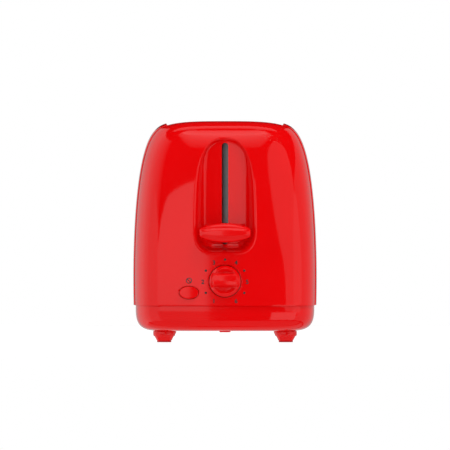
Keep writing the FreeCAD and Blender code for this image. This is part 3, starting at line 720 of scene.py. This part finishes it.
def numeral(text, height, x, z):
    """Outline of a figure from the built-in face, as a flat mesh centred on a point."""
    figure_share = 0.7
    boldness = 0.026
    curve = bpy.data.curves.new("figure", "FONT")
    curve.body = text
    curve.size = height / figure_share
    curve.offset = boldness * curve.size
    curve.align_x = "CENTER"
    curve.align_y = "CENTER"
    holder = bpy.data.objects.new("figure", curve)
    bpy.context.scene.collection.objects.link(holder)
    depsgraph = bpy.context.evaluated_depsgraph_get()
    mesh = bpy.data.meshes.new_from_object(holder.evaluated_get(depsgraph))
    bpy.data.objects.remove(holder)
    flat = numbers(mesh.vertices, "co")[:, :2]
    flat = flat - (flat.min(axis=0) + flat.max(axis=0)) / 2 + np.array([x, z])
    faces = [list(p.vertices) for p in mesh.polygons]
    return flat, faces


def disc(radius, x, z, steps=28):
    angle = np.linspace(0, 2 * math.pi, steps, endpoint=False)
    flat = np.stack([x + radius * np.cos(angle), z + radius * np.sin(angle)], axis=-1)
    return flat, [list(range(steps))]


def ring(radius, width, x, z, steps=48):
    angle = np.linspace(0, 2 * math.pi, steps, endpoint=False)
    wheel = np.stack([np.cos(angle), np.sin(angle)], axis=-1)
    flat = np.concatenate([wheel * radius, wheel * (radius - width)]) + np.array([x, z])
    faces = [[i, (i + 1) % steps, steps + (i + 1) % steps, steps + i] for i in range(steps)]
    return flat, faces


def stripe(x0, z0, x1, z1, width):
    along = np.array([x1 - x0, z1 - z0])
    normal = np.array([-along[1], along[0]]) / np.hypot(*along) * width / 2
    ends = np.array([[x0, z0], [x1, z1]])
    flat = np.stack([ends[0] + normal, ends[0] - normal, ends[1] - normal, ends[1] + normal])
    return flat, [[0, 1, 2, 3]]


def print_marks(name, marks, material):
    """Raised ink, a few hundredths of a millimetre thick, following the cover."""
    points, faces, first = [], [], 0
    for flat, shape in marks:
        points.append(flat)
        faces += [[first + i for i in face] for face in shape]
        first += len(flat)
    lift, thickness = 0.06 * MM, 0.05 * MM
    piece = mesh_object(name, on_cover(np.concatenate(points), lift), faces)
    facing(piece, (0, -1, 0))
    wall(piece, thickness)
    fitted(piece, "housing", None, material)


def dial_scale(material):
    """Figures 1 to 6 clockwise round the dial with a dot between each two.

    Marks are thirty degrees apart on a ring centred half a millimetre below the knob's axis.
    """
    level = measured("browning_dial")[2][2] - 0.5 * MM
    reach = 19 * MM
    dot_radius, figure_height = 0.98 * MM, 3.5 * MM
    first_angle, turn = 240, 30
    marks = []
    for step in range(11):
        angle = math.radians(first_angle - turn * step)
        x, z = reach * math.cos(angle), level + reach * math.sin(angle)
        if step % 2:
            marks.append(disc(dot_radius, x, z))
        else:
            marks.append(numeral(str(step // 2 + 1), figure_height, x, z))
    print_marks("dial_scale_print", marks, material)


def cancel_sign(material):
    """Circle with a slanted bar across it, above the button."""
    x, z = measured("cancel_button")[2][0], 53.2 * MM
    radius, slant, line = 2.5 * MM, 1.6 * MM, 0.65 * MM
    print_marks("cancel_sign_print", [ring(radius, line, x, z),
                                      stripe(x - slant, z + slant, x + slant, z - slant, line)],
                material)


# ------------------------------------------------------------------ inside pieces

def heating_ribbon(label, material):
    """Flat ribbon laid to and fro on both faces of a board, thirteen runs a face."""
    low, high, centre = measured("heating_board_" + label)
    margin, reach = 8 * MM, 76 * MM
    half_ribbon, thickness, clear = 0.9 * MM, 0.2 * MM, 0.35 * MM
    wave_height, wave_length = 0.25 * MM, 4 * MM
    y = np.linspace(-reach, reach, 60)[None, :]
    across = np.array([-half_ribbon, half_ribbon])[:, None]
    wave = wave_height * np.sin(y / wave_length)
    pieces = []
    for side in (-1, 1):
        x = np.array(centre[0] + side * ((high[0] - low[0]) / 2 + clear))
        for level in np.linspace(low[2] + margin, high[2] - margin, 13):
            pieces.append(surface("run", x, y, level + across + wave))
            facing(pieces[-1], (side, 0, 0))
    piece = join("heating_ribbon_" + label, pieces)
    wall(piece, thickness)
    fitted(piece, "housing", None, material)


def lift_spring(material):
    """Round wire on a helix between the carriage ear and the upper lug."""
    low, high, centre = measured("lift_spring")
    wire = 0.4 * MM
    radius = (high[0] - low[0]) / 2 - wire
    turns = 13
    run = np.linspace(0, 1, turns * 24 + 1)[:, None]
    angle = run * turns * 2 * math.pi
    around = np.linspace(0, 2 * math.pi, 10, endpoint=False)[None, :]
    r = radius + wire * np.cos(around)
    z = low[2] + wire + (high[2] - low[2] - 2 * wire) * run + wire * np.sin(around)
    x = centre[0] + r * np.cos(angle)
    y = centre[1] + r * np.sin(angle)
    piece = surface("lift_spring_coil", x, y, z, wrap=True)
    close_rings(piece)
    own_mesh(piece)
    fitted(piece, "housing", ["lift_spring"], material)


# ------------------------------------------------------------------ materials

def add(owner, kind, inputs=None, links=None, stops=(), **settings):
    """Add one node: its settings, its input values and links from other nodes' outputs.

    stops are a colour band's (position, sRGB hex) pairs, for a node that has a band.
    """
    tree = owner.node_tree
    made = tree.nodes.new(kind)
    for key, value in settings.items():
        setattr(made, key, value)
    for key, value in (inputs or {}).items():
        made.inputs[key].default_value = value
    for key, (source, output) in (links or {}).items():
        tree.links.new(source.outputs[output], made.inputs[key])
    for element, (position, colour) in zip(made.color_ramp.elements if stops else (), stops):
        element.position = position
        element.color = linear(colour)
    return made


def start(name):
    """Empty material with a Principled shader joined to its output."""
    material = bpy.data.materials.new(name)
    material.use_nodes = True
    material.node_tree.nodes.clear()
    shader = add(material, "ShaderNodeBsdfPrincipled")
    add(material, "ShaderNodeOutputMaterial", links={"Surface": (shader, "BSDF")})
    place = add(material, "ShaderNodeTexCoord")
    return material, shader, place


def link(material, source, output, target, socket):
    material.node_tree.links.new(source.outputs[output], target.inputs[socket])


def moulded_abs(name, roughness, light, deep):
    """Gloss ABS from a polished mould: clear mirror-like sheen, faint sink and flow marks."""
    material, shader, place = start(name)
    flow = add(material, "ShaderNodeTexNoise", {"Scale": 1 / (60 * MM), "Detail": 3.0},
               {"Vector": (place, "Object")})
    tint = add(material, "ShaderNodeValToRGB", links={"Fac": (flow, "Fac")},
               stops=[(0.3, deep), (0.7, light)])
    link(material, tint, "Color", shader, "Base Color")
    haze = add(material, "ShaderNodeTexNoise", {"Scale": 1 / (9 * MM), "Detail": 5.0},
               {"Vector": (place, "Object")})
    gloss = add(material, "ShaderNodeMapRange",
                {"To Min": roughness * 0.8, "To Max": roughness * 1.25},
                {"Value": (haze, "Fac")})
    link(material, gloss, "Result", shader, "Roughness")
    ripple = add(material, "ShaderNodeTexNoise", {"Scale": 1 / (25 * MM), "Detail": 1.0},
                 {"Vector": (place, "Object")})
    bump = add(material, "ShaderNodeBump", {"Strength": 0.02, "Distance": 0.2 * MM},
               {"Height": (ripple, "Fac")})
    link(material, bump, "Normal", shader, "Normal")
    shader.inputs["IOR"].default_value = 1.5
    return material


def patterned(name, kind, pattern, stops, gloss, metallic=0.0, drivers=("Fac", "Fac")):
    """Finish whose colour and roughness follow one texture of the given kind.

    pattern holds the texture's inputs, stops its colours and gloss the least and greatest
    roughness.  drivers are the texture's outputs that drive the colour and the roughness.
    """
    material, shader, place = start(name)
    texture = add(material, kind, pattern, {"Vector": (place, "Object")})
    tint = add(material, "ShaderNodeValToRGB", links={"Fac": (texture, drivers[0])}, stops=stops)
    link(material, tint, "Color", shader, "Base Color")
    rough = add(material, "ShaderNodeMapRange", {"To Min": gloss[0], "To Max": gloss[1]},
                {"Value": (texture, drivers[1])})
    link(material, rough, "Result", shader, "Roughness")
    shader.inputs["Metallic"].default_value = metallic
    return material


def galvanised_steel():
    """Skin-passed zinc sheet: faint spangle patches about a centimetre wide, satin."""
    return patterned("galvanised_steel_sheet", "ShaderNodeTexNoise",
                     {"Scale": 1 / (11 * MM), "Detail": 1.0},
                     [(0.3, "#BFC3C5"), (0.7, "#D2D5D6")], (0.34, 0.46), 1.0)


def drawn_wire():
    """Bright drawn steel wire: fine marks of the die, near mirror."""
    return patterned("bright_drawn_steel_wire", "ShaderNodeTexNoise",
                     {"Scale": 1 / (0.8 * MM), "Detail": 2.0},
                     [(0.3, "#C4C6C8"), (0.7, "#DCDDDE")], (0.12, 0.28), 1.0)


def mica_sheet():
    """Pressed mica paper: tan flakes a millimetre or two wide with a pearly gloss."""
    return patterned("pressed_mica_sheet", "ShaderNodeTexVoronoi", {"Scale": 1 / (1.6 * MM)},
                     [(0.1, "#8B7A5C"), (0.9, "#B8A684")], (0.3, 0.6),
                     drivers=("Color", "Distance"))


def resistance_ribbon():
    """Nickel chrome ribbon, oxidised to a dark straw grey by heat."""
    material, shader, place = start("oxidised_nichrome_ribbon")
    stain = add(material, "ShaderNodeTexNoise", {"Scale": 1 / (7 * MM), "Detail": 4.0},
                {"Vector": (place, "Object")})
    tint = add(material, "ShaderNodeValToRGB", links={"Fac": (stain, "Fac")},
               stops=[(0.3, "#4B4A48"), (0.7, "#77726A")])
    link(material, tint, "Color", shader, "Base Color")
    shader.inputs["Metallic"].default_value = 1.0
    shader.inputs["Roughness"].default_value = 0.42
    return material


def plain_finish(name, light, deep, grain, roughness, metallic=0.0, strength=0.15):
    """Even finish with a fine grain of a stated size in both colour and relief."""
    material, shader, place = start(name)
    noise = add(material, "ShaderNodeTexNoise", {"Scale": 1 / grain, "Detail": 4.0},
                {"Vector": (place, "Object")})
    tint = add(material, "ShaderNodeValToRGB", links={"Fac": (noise, "Fac")},
               stops=[(0.35, deep), (0.65, light)])
    link(material, tint, "Color", shader, "Base Color")
    bump = add(material, "ShaderNodeBump", {"Strength": strength, "Distance": 0.05 * MM},
               {"Height": (noise, "Fac")})
    link(material, bump, "Normal", shader, "Normal")
    shader.inputs["Roughness"].default_value = roughness
    shader.inputs["Metallic"].default_value = metallic
    return material


def enamelled_winding():
    """Copper wire under clear enamel, wound in even turns up the coil. The turns' relief is a
    bump; their colour is painted shade in the grooves between turns and painted highlight on the
    crowns.
    """
    material, shader, place = start("enamelled_copper_winding")
    turns = add(material, "ShaderNodeTexWave", {"Scale": 1 / (8 * MM)},
                {"Vector": (place, "Object")}, bands_direction="Z")
    # Painted shade and highlight: the colour follows the bump's bands, dark copper in the grooves
    # and light copper on the crowns.
    tint = add(material, "ShaderNodeValToRGB", links={"Fac": (turns, "Fac")},
               stops=[(0.1, "#7A3A18"), (0.8, "#C46A34")])
    link(material, tint, "Color", shader, "Base Color")
    bump = add(material, "ShaderNodeBump", {"Strength": 0.6, "Distance": 0.2 * MM},
               {"Height": (turns, "Fac")})
    link(material, bump, "Normal", shader, "Normal")
    shader.inputs["Metallic"].default_value = 1.0
    shader.inputs["Roughness"].default_value = 0.3
    return material


FINISHES = {}


def finish(name):
    return FINISHES[name]


def make_finishes():
    c = colours()
    FINISHES["body"] = moulded_abs("gloss_abs_body", 0.07, c.body, c.body_deep)
    FINISHES["trim"] = moulded_abs("gloss_abs_controls", 0.12, c.body, c.body_deep)
    FINISHES["zinc"] = galvanised_steel()
    FINISHES["wire"] = drawn_wire()
    FINISHES["mica"] = mica_sheet()
    FINISHES["ribbon"] = resistance_ribbon()
    FINISHES["pad"] = plain_finish("red_silicone_rubber", "#C8141A", "#B60F15", 0.6 * MM, 0.55)
    FINISHES["ink"] = plain_finish("screen_print_ink", c.ink, "#0E3637", 0.5 * MM, 0.45)
    FINISHES["laminate"] = plain_finish("phenolic_paper_laminate", "#9A7438", "#86632C",
                                        1.5 * MM, 0.5)
    FINISHES["nylon"] = plain_finish("black_moulded_nylon", "#1C1C1D", "#151516", 0.4 * MM, 0.5)
    FINISHES["iron"] = plain_finish("ground_soft_iron", "#8E9091", "#7C7E80", 0.7 * MM, 0.38,
                                    1.0)
    FINISHES["copper"] = enamelled_winding()


CAD_FINISHES = {
    "zinc": ["slot_collar_left", "slot_collar_right", "chassis_front", "chassis_rear",
             "heat_shield_left", "heat_shield_right", "chamber_roof", "carriage_bracket",
             "crumb_tray"],
    "wire": ["guide_rod", "bread_rack_left", "bread_rack_right", "bread_guide_left_inner",
             "bread_guide_left_outer", "bread_guide_right_inner", "bread_guide_right_outer"],
    "mica": ["heating_board_left", "heating_board_centre", "heating_board_right"],
    "trim": ["crumb_tray_grip"],
    "laminate": ["control_board"],
    "nylon": ["browning_control", "dial_shaft", "cancel_switch", "cord_gland", "carriage_bush"],
    "iron": ["magnet_core", "latch_armature"],
    "copper": ["magnet_coil"],
}


# ------------------------------------------------------------------ stage

CARD_LEVEL = 0.1

def sky_card(name, turn, low, high, glow_low, glow_high=None, far=2.0):
    """Glowing patch of a sphere round the object, seen only in reflections.

    turn is an array of angles from the lever end, positive to the right; low and high are the
    patch's edges as elevations, all in degrees.  The glow goes evenly from the low edge to the
    high one.  Every value is a number or an array of turn's length.
    """
    turn = np.asarray(turn, dtype=float)
    low, high, glow_low, glow_high = (
        np.broadcast_to(np.asarray(value, dtype=float), turn.shape)[None, :]
        for value in (low, high, glow_low, glow_low if glow_high is None else glow_high))
    turn = np.radians(turn)[None, :]
    share = np.linspace(0, 1, 13)[:, None]
    climb = np.radians(low + (high - low) * share)
    glow = glow_low + (glow_high - glow_low) * share
    points = np.stack([far * np.cos(climb) * np.sin(turn), -far * np.cos(climb) * np.cos(turn),
                       CARD_LEVEL + far * np.sin(climb)], axis=-1)
    piece = mesh_object(name, points, grid_faces(*glow.shape))
    layer = piece.data.attributes.new("glow", "FLOAT", "POINT")
    layer.data.foreach_set("value", glow.ravel())
    material = bpy.data.materials.new(name)
    material.use_nodes = True
    material.node_tree.nodes.clear()
    layer = add(material, "ShaderNodeAttribute", attribute_name="glow")
    light = add(material, "ShaderNodeEmission", links={"Strength": (layer, "Fac")})
    add(material, "ShaderNodeOutputMaterial", links={"Surface": (light, "Emission")})
    piece.data.materials.append(material)
    piece.visible_camera = False
    piece.visible_diffuse = False
    piece.visible_shadow = False
    piece.visible_transmission = False


def between(turn, *pairs):
    """Values at the turns, straight between (turn, value) pairs."""
    return np.interp(turn, [pair[0] for pair in pairs], [pair[1] for pair in pairs])


def stage_floor():
    """Round pale floor; it shines a little so that it stays as pale as the air round it."""
    turn = np.linspace(0, 2 * math.pi, 96, endpoint=False)[None, :]
    reach = np.array([[0.01], [0.3], [1.3]])
    floor = surface("floor", reach * np.cos(turn), reach * np.sin(turn), np.zeros(1), wrap=True)
    close_rings(floor)
    facing(floor, (0, 0, 1))
    material, shader, _ = start("pale_matt_card")
    shader.inputs["Base Color"].default_value = linear("#6E6E6E")
    shader.inputs["Roughness"].default_value = 0.9
    shader.inputs["Emission Color"].default_value = (1, 1, 1, 1)
    shader.inputs["Emission Strength"].default_value = 0.96
    floor.data.materials.append(material)
    floor.visible_glossy = False


def stage_camera():
    """Long lens, level with the middle of the body, square on to the lever end."""
    distance = 8.0
    level = 100.8 * MM
    frame_width = 0.3871
    camera = bpy.data.cameras.new("camera")
    holder = bpy.data.objects.new("camera", camera)
    bpy.context.scene.collection.objects.link(holder)
    camera.sensor_width = 36
    camera.lens = camera.sensor_width * distance / frame_width
    camera.clip_start = 0.01
    camera.clip_end = 100
    holder.location = (0, -form().seam - distance, level)
    holder.rotation_euler = (math.pi / 2, 0, 0)
    bpy.context.scene.camera = holder


def stage_air():
    """Even white air for the camera, a little dimmer as soft light, dark in reflections."""
    world = bpy.data.worlds.new("studio")
    bpy.context.scene.world = world
    world.use_nodes = True
    camera_air, soft_air, mirrored_air = 1.0, 0.86, 0.01
    back = world.node_tree.nodes["Background"]
    back.inputs["Color"].default_value = (1, 1, 1, 1)
    path = add(world, "ShaderNodeLightPath")
    soft = add(world, "ShaderNodeMix", {"A": soft_air, "B": camera_air},
               {"Factor": (path, "Is Camera Ray")})
    pick = add(world, "ShaderNodeMix", {"B": mirrored_air},
               {"Factor": (path, "Is Glossy Ray"), "A": (soft, "Result")})
    world.node_tree.links.new(pick.outputs["Result"], back.inputs["Strength"])


def stage_cards():
    """Reflection cards round the object.

    Left: a low one, one under it, one at the corner and one along the flank.  Right: the same
    with a round one in place of the low one.  Overhead a wedge fades towards the lever end, and
    dim ones lie behind and below.
    """
    turn = np.linspace(-46, -0.95, 24)
    sky_card("card_left_under", turn, -38, -6, 0.3)
    sky_card("card_left_low", turn, -6,
             between(turn, (-46, 3), (-40, 7.5), (-30, 12.5), (-15, 15), (0, 17.5)), 0.85)
    turn = np.linspace(-80, -46, 16)
    sky_card("card_left_corner", turn, -38, between(turn, (-80, 5), (-62, 14), (-46, 6)), 0.62,
             far=1.95)
    turn = np.linspace(-180, -46, 60)
    glow = between(turn, (-180, 0.7), (-168, 0.4), (-150, 0.5), (-110, 0.95), (-85, 0.78),
                   (-60, 0.42), (-46, 0.05))
    sky_card("card_left_flank", turn, -38,
             between(turn, (-180, 3), (-172, 8), (-160, 34), (-150, 50), (-110, 54), (-46, 50)),
             glow)
    turn = np.linspace(14, 62, 40)
    sky_card("card_right_round", turn,
             between(turn, (14, 20), (15, 13), (17, 8), (21, 4), (27, 1), (31, -2), (32, -7)),
             between(turn, (14, 20), (15, 28), (17, 34), (20, 40), (25, 44.5), (31, 48),
                     (40, 49.5), (50, 47), (57, 40), (60, 33), (62, 22)), 0.49)
    sky_card("card_right_under", np.linspace(14, 62, 12), -34, -8, 0.9)
    turn = np.linspace(49, 78, 16)
    sky_card("card_right_corner", turn, -8, between(turn, (49, 5), (60, 14), (68, 12), (78, 0)),
             0.68, far=1.95)
    turn = np.linspace(64, 180, 50)
    sky_card("card_right_flank", turn, -34,
             between(turn, (64, 16), (100, 26), (150, 44), (160, 34), (172, 8), (180, 3)),
             between(turn, (64, 0.42), (130, 0.42), (168, 0.36), (180, 0.7)))
    turn = np.linspace(-66, 66, 60)
    sky_card("card_over_front", turn, between(np.abs(turn), (0, 38), (10, 40), (20, 49), (32, 59),
                                              (50, 66), (66, 78)),
             between(np.abs(turn), (0, 64), (50, 72), (66, 80)),
             between(np.abs(turn), (0, 0.15), (66, 0.6)),
             between(np.abs(turn), (0, 1.25), (66, 0.6)))
    sky_card("card_over", turn, between(np.abs(turn), (0, 64), (50, 72), (66, 80)), 84, 1.6, 0.8)
    sky_card("card_under_front", np.linspace(-100, 100, 60), -86, -38, 0.26)
    turn = np.linspace(110, 250, 40)
    sky_card("card_over_rear", turn, 66, 84, 0.7, 0.5)
    sky_card("card_under_rear", turn, -86, -38, 0.35)


def stage_lights():
    """Air, cards and one large soft light from the right front that leaves no highlight."""
    stage_air()
    stage_cards()
    lamp = bpy.data.lights.new("key", "AREA")
    lamp.shape = "DISK"
    lamp.size = 0.9
    lamp.energy = 15
    holder = bpy.data.objects.new("key", lamp)
    bpy.context.scene.collection.objects.link(holder)
    toward = Vector((0.8, -0.9, 2.1))
    holder.location = toward
    holder.rotation_euler = toward.to_track_quat("Z", "Y").to_euler()
    holder.visible_glossy = False
    bpy.context.scene.view_settings.view_transform = "Standard"


# ------------------------------------------------------------------ operators

class TOASTER_OT_covers(Operator):
    """Front and rear end covers"""
    bl_idname = "toaster.covers"
    bl_label = "End covers"

    def execute(self, context):
        front_cover(finish("body"))
        rear_cover(finish("body"))
        return {"FINISHED"}


class TOASTER_OT_shells(Operator):
    """Left and right side shells"""
    bl_idname = "toaster.shells"
    bl_label = "Side shells"

    def execute(self, context):
        side_shell(-1, "left", finish("body"))
        side_shell(1, "right", finish("body"))
        return {"FINISHED"}


class TOASTER_OT_base(Operator):
    """Base moulding, feet and foot pads"""
    bl_idname = "toaster.base"
    bl_label = "Base and feet"

    def execute(self, context):
        base_moulding(finish("body"))
        for end in ("front", "rear"):
            for side in ("left", "right"):
                foot("%s_%s" % (end, side), finish("trim"), finish("pad"))
        return {"FINISHED"}


class TOASTER_OT_top(Operator):
    """Top plate with the bread slots"""
    bl_idname = "toaster.top"
    bl_label = "Top plate"

    def execute(self, context):
        top_plate(finish("body"))
        return {"FINISHED"}


class TOASTER_OT_controls(Operator):
    """Lever, browning dial and cancel button"""
    bl_idname = "toaster.controls"
    bl_label = "Controls"

    def execute(self, context):
        lever(finish("trim"))
        dial(finish("trim"))
        cancel_button(finish("body"))
        return {"FINISHED"}


class TOASTER_OT_print(Operator):
    """Printed dial scale and cancel sign"""
    bl_idname = "toaster.print"
    bl_label = "Printed marks"

    def execute(self, context):
        dial_scale(finish("ink"))
        cancel_sign(finish("ink"))
        return {"FINISHED"}


class TOASTER_OT_inside(Operator):
    """Heating ribbon and lift spring"""
    bl_idname = "toaster.inside"
    bl_label = "Inside pieces"

    def execute(self, context):
        for label in ("left", "centre", "right"):
            heating_ribbon(label, finish("ribbon"))
        lift_spring(finish("wire"))
        return {"FINISHED"}


class TOASTER_OT_finishes(Operator):
    """Materials, and their places on the pieces that come with the frame"""
    bl_idname = "toaster.finishes"
    bl_label = "Finishes"

    def execute(self, context):
        make_finishes()
        for name, nodes in CAD_FINISHES.items():
            for node in nodes:
                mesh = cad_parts[node].data
                mesh.materials.clear()
                mesh.materials.append(finish(name))
        return {"FINISHED"}


class TOASTER_OT_stage(Operator):
    """Floor, camera and lights"""
    bl_idname = "toaster.stage"
    bl_label = "Stage"

    def execute(self, context):
        stage_floor()
        stage_camera()
        stage_lights()
        return {"FINISHED"}


OPERATORS = [TOASTER_OT_finishes, TOASTER_OT_covers, TOASTER_OT_shells, TOASTER_OT_base,
             TOASTER_OT_top, TOASTER_OT_controls, TOASTER_OT_print, TOASTER_OT_inside,
             TOASTER_OT_stage]


class TOASTER_PT_panel(Panel):
    """Sidebar panel with the sizes, colours and steps"""
    bl_idname = "TOASTER_PT_panel"
    bl_label = "Pop up toaster"
    bl_space_type = "VIEW_3D"
    bl_region_type = "UI"
    bl_category = "Toaster"

    def draw(self, context):
        for name in ("half_width", "half_length", "crown", "waist", "skirt", "wall"):
            self.layout.prop(context.scene.toaster_form, name)
        for name in ("body", "body_deep", "ink"):
            self.layout.prop(context.scene.toaster_colours, name)
        for step in OPERATORS:
            self.layout.operator(step.bl_idname)


CLASSES = [ToasterForm, ToasterColours] + OPERATORS + [TOASTER_PT_panel]


def register():
    for item in CLASSES:
        bpy.utils.register_class(item)
    bpy.types.Scene.toaster_form = PointerProperty(type=ToasterForm)
    bpy.types.Scene.toaster_colours = PointerProperty(type=ToasterColours)


def unregister():
    del bpy.types.Scene.toaster_colours
    del bpy.types.Scene.toaster_form
    for item in reversed(CLASSES):
        bpy.utils.unregister_class(item)


def main():
    register()
    for step in OPERATORS:
        family, action = step.bl_idname.split(".")
        getattr(getattr(bpy.ops, family), action)()


if __name__ == "__main__":
    main()
